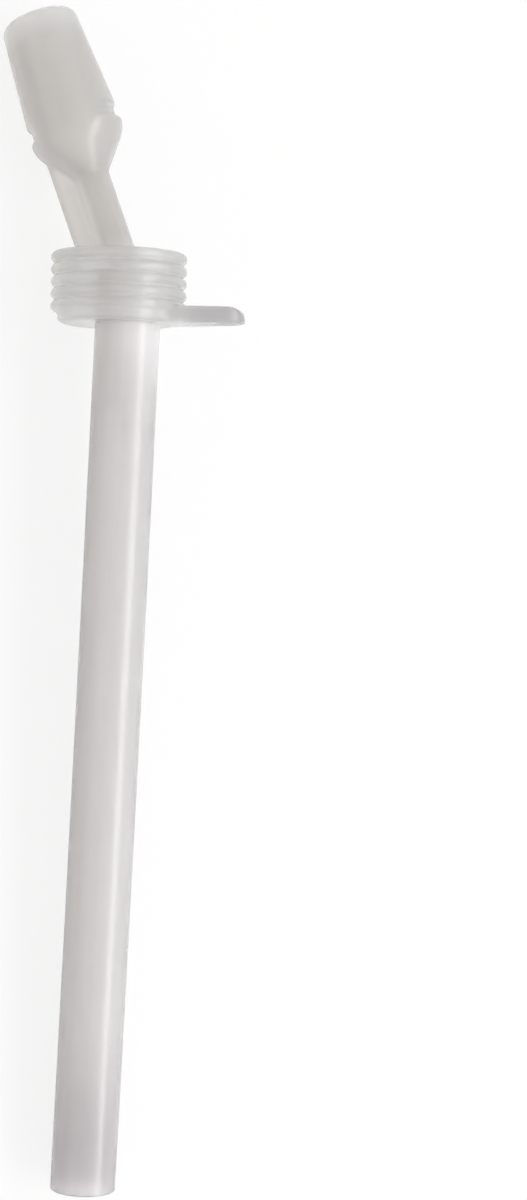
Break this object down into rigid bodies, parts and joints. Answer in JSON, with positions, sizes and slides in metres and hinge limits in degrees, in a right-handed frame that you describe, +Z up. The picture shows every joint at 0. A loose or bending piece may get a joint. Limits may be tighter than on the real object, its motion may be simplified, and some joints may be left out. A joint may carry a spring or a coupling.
{
  "type": "flip-lid bottle drinking straw",
  "caption": "Drinking straw of a flip-lid bottle: soft bite mouthpiece on a bent neck, ribbed lid plug with a pull tab, and a stiff straight tube pushed into its underside.",
  "frame": {"origin": "on the table, under the middle of the straw's box as it lies at rest", "axes": "+Y runs up the straw, from the foot of the tube to the mouthpiece, +X points to the side of the pull tab, +Z is up from the table"},
  "size_m": [0.0358, 0.1761, 0.0204],
  "materials": {
    "frosted_silicone": "milky translucent silicone, satin frosted skin from the mould",
    "extruded_tube": "milky translucent polypropylene, extruded, satin"
  },
  "bodies": {
    "root": {"soft_moulding": "frosted_silicone", "tube": "extruded_tube"}
  },
  "joints": []
}
